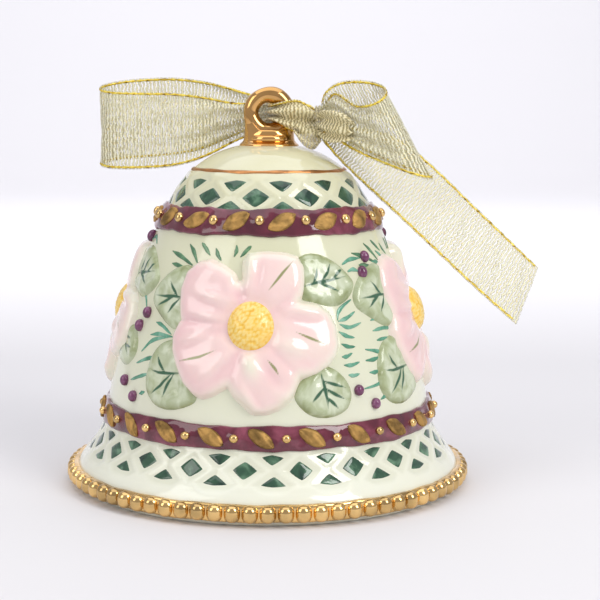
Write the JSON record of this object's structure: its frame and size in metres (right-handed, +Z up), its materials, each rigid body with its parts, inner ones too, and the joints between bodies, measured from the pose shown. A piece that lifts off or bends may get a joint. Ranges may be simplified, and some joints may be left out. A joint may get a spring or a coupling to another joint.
{
  "type": "bell ornament",
  "caption": "Porcelain hanging bell with flower relief, a beaded gilt mouth, a gilt ring on the crown, a swinging clapper and a ribbon bow with a hanging loop.",
  "frame": {"origin": "centre of the mouth on the plane of the foot that the bell stands on, on the bell's axis", "axes": "+Z up along the bell's axis to the hanging ring; the front flower faces -Y, the hanging loop of ribbon lies to -X and the tail to +X"},
  "size_m": [0.0955, 0.08, 0.0776],
  "materials": {
    "porcelain_glaze": "gloss",
    "maroon_glaze": "gloss",
    "pink_glaze": "gloss",
    "yellow_glaze": "gloss",
    "sage_glaze": "gloss",
    "berry_glaze": "gloss",
    "green_glaze": "gloss",
    "matte_gold": "satin",
    "bright_gold": "polished",
    "brass_wire": "satin",
    "cement": "rough",
    "clapper_porcelain": "gloss",
    "organza": "sheer"
  },
  "bodies": {
    "bell": {"bell_shell": "porcelain_glaze", "upper_band": "maroon_glaze", "upper_band_leaves": "matte_gold", "upper_band_beads": "bright_gold", "lower_band": "maroon_glaze", "lower_band_leaves": "matte_gold", "lower_band_beads": "bright_gold", "rim_beading": "bright_gold", "front_petals": "pink_glaze", "front_flower_centre": "yellow_glaze", "front_leaves": "sage_glaze", "berries_beside_front": "berry_glaze", "right_petals": "pink_glaze", "right_flower_centre": "yellow_glaze", "right_leaves": "sage_glaze", "berries_beside_right": "berry_glaze", "back_petals": "pink_glaze", "back_flower_centre": "yellow_glaze", "back_leaves": "sage_glaze", "berries_beside_back": "berry_glaze", "left_petals": "pink_glaze", "left_flower_centre": "yellow_glaze", "left_leaves": "sage_glaze", "berries_beside_left": "berry_glaze", "crown_collar": "bright_gold", "hanging_ring": "bright_gold", "crown_plug": "cement", "clapper_eye": "brass_wire", "ribbon_strands": "organza", "ribbon_knot": "organza"},
    "link": {"clapper_link": "brass_wire"},
    "clapper": {"clapper_hanger": "brass_wire", "clapper_ball": "clapper_porcelain", "clapper_end": "brass_wire"},
    "hanging_loop": {"ribbon_hanging_loop": "organza"},
    "bow_loop": {"ribbon_bow_loop": "organza"},
    "tail": {"ribbon_tail": "organza"}
  },
  "joints": [
    {"name": "clapper_link_swing", "type": "hinge", "parent": "bell", "child": "link", "pos_m": [0, 0, 0.0576], "axis": [1, 0, 0], "range_deg": [-30, 30]},
    {"name": "clapper_swing", "type": "hinge", "parent": "link", "child": "clapper", "pos_m": [0, 0, 0.052], "axis": [0, 1, 0], "range_deg": [-18, 18]},
    {"name": "hanging_loop_lift", "type": "hinge", "parent": "bell", "child": "hanging_loop", "pos_m": [0, 0.0054, 0.0724], "axis": [0, 1, 0], "range_deg": [0, 90]},
    {"name": "bow_loop_tilt", "type": "hinge", "parent": "bell", "child": "bow_loop", "pos_m": [0.0096, -0.001, 0.0712], "axis": [0, -1, 0], "range_deg": [-12, 12]},
    {"name": "tail_lift", "type": "hinge", "parent": "bell", "child": "tail", "pos_m": [0.0096, -0.001, 0.0712], "axis": [0, -1, 0], "range_deg": [0, 30]}
  ]
}
